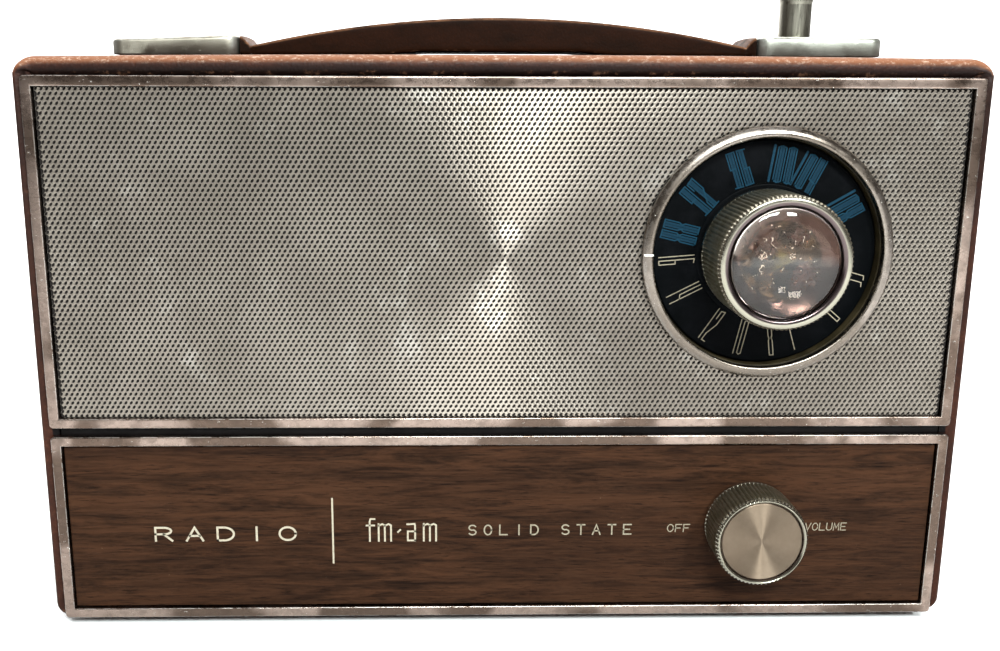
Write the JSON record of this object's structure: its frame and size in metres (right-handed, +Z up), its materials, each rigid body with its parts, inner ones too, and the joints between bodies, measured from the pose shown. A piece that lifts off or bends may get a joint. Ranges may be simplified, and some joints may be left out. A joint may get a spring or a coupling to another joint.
{
  "type": "portable transistor radio",
  "caption": "Portable two-band radio: leatherette case, perforated metal grille, round dial with knurled knobs, woodgrain panel, strap handle and telescopic aerial.",
  "frame": {"origin": "middle of the overall box, at the height of the surface that the feet stand on", "axes": "+X to the radio's right as seen from the front, +Y towards its back, +Z up"},
  "size_m": [0.254, 0.0924, 0.1766],
  "materials": {
    "leatherette": "embossed leatherette, worn lighter along the top edge",
    "handle_leather": "padded smooth leather, worn on top",
    "trim_aluminium": "aged satin, nicked edges",
    "brushed_aluminium": "perforated sheet, circular brushed",
    "spun_aluminium": "spun, straight knurl at the sides",
    "emblem_foil": "crumpled foil relief with stains",
    "clear_lens": "clear moulded dome",
    "die_cast": "satin die-cast",
    "chromed_tube": "bright plated",
    "walnut": "walnut grain, satin",
    "black_plastic": "moulded",
    "dial_black": "gloss disc with printed numbers",
    "plated_steel": "plated",
    "grey_plastic": "moulded",
    "cone_paper": "pressed paper",
    "board": "phenolic laminate",
    "ferrite": "sintered",
    "winding": "enamelled wire",
    "cell_jacket": "printed jacket",
    "rubber": "moulded"
  },
  "bodies": {
    "cabinet": {"case_shell": "leatherette", "handle_tab_left": "handle_leather", "handle_tab_right": "handle_leather", "upper_frame": "trim_aluminium", "lower_frame": "trim_aluminium", "dial_bezel": "trim_aluminium", "speaker_grille": "brushed_aluminium", "handle_plate_left": "die_cast", "handle_plate_right": "die_cast", "antenna_tube": "chromed_tube", "wood_panel": "walnut", "front_baffle": "black_plastic", "dial_housing": "black_plastic", "back_cover": "black_plastic", "earphone_jack": "black_plastic", "volume_control": "plated_steel", "back_screw_left": "plated_steel", "back_screw_right": "plated_steel", "battery_contact_left": "plated_steel", "battery_contact_right": "plated_steel", "speaker_basket": "plated_steel", "speaker_magnet": "plated_steel", "if_transformer_1": "plated_steel", "if_transformer_2": "plated_steel", "audio_transformer": "plated_steel", "tuning_capacitor": "grey_plastic", "antenna_bracket": "grey_plastic", "ferrite_clip_left": "grey_plastic", "ferrite_clip_right": "grey_plastic", "band_switch": "grey_plastic", "battery_tray": "grey_plastic", "speaker_cone": "cone_paper", "circuit_board": "board", "ferrite_rod": "ferrite", "ferrite_coil": "winding", "battery_1": "cell_jacket", "battery_2": "cell_jacket", "battery_3": "cell_jacket", "battery_4": "cell_jacket", "electrolytic_capacitor": "cell_jacket", "foot_front_left": "rubber", "foot_front_right": "rubber", "foot_rear_left": "rubber", "foot_rear_right": "rubber"},
    "tuning": {"tuning_knob": "spun_aluminium", "tuning_knob_lens": "clear_lens", "tuning_knob_emblem": "emblem_foil", "dial_disc": "dial_black", "tuning_shaft": "plated_steel"},
    "volume": {"volume_knob": "spun_aluminium", "volume_knob_cap": "spun_aluminium", "volume_shaft": "plated_steel"},
    "handle": {"handle_strap": "handle_leather"},
    "antenna_1": {"antenna_section_1": "chromed_tube"},
    "antenna_2": {"antenna_section_2": "chromed_tube"},
    "antenna_3": {"antenna_section_3": "chromed_tube"},
    "antenna_tip": {"antenna_rod": "chromed_tube", "antenna_cap": "die_cast"},
    "band_slider": {"band_switch_slider": "black_plastic"},
    "battery_door": {"battery_door": "black_plastic"}
  },
  "joints": [
    {"name": "tuning_turn", "type": "hinge", "parent": "cabinet", "child": "tuning", "pos_m": [0.0702, -0.0276, 0.1082], "axis": [0, -1, 0], "range_deg": [0, 180]},
    {"name": "volume_turn", "type": "hinge", "parent": "cabinet", "child": "volume", "pos_m": [0.0704, -0.0276, 0.031], "axis": [0, 1, 0], "range_deg": [0, 300]},
    {"name": "handle_lift", "type": "slide", "parent": "cabinet", "child": "handle", "axis": [0, 0, 1], "range_m": [0, 0.02]},
    {"name": "antenna_1_draw", "type": "slide", "parent": "cabinet", "child": "antenna_1", "axis": [0, 0, 1], "range_m": [0, 0.125]},
    {"name": "antenna_2_draw", "type": "slide", "parent": "antenna_1", "child": "antenna_2", "axis": [0, 0, 1], "range_m": [0, 0.125]},
    {"name": "antenna_3_draw", "type": "slide", "parent": "antenna_2", "child": "antenna_3", "axis": [0, 0, 1], "range_m": [0, 0.125]},
    {"name": "antenna_tip_draw", "type": "slide", "parent": "antenna_3", "child": "antenna_tip", "axis": [0, 0, 1], "range_m": [0, 0.125]},
    {"name": "band_slide", "type": "slide", "parent": "cabinet", "child": "band_slider", "axis": [1, 0, 0], "range_m": [0, 0.005]},
    {"name": "door_open", "type": "hinge", "parent": "cabinet", "child": "battery_door", "pos_m": [0, 0.04315, 0.00985], "axis": [-1, 0, 0], "range_deg": [0, 95]}
  ]
}
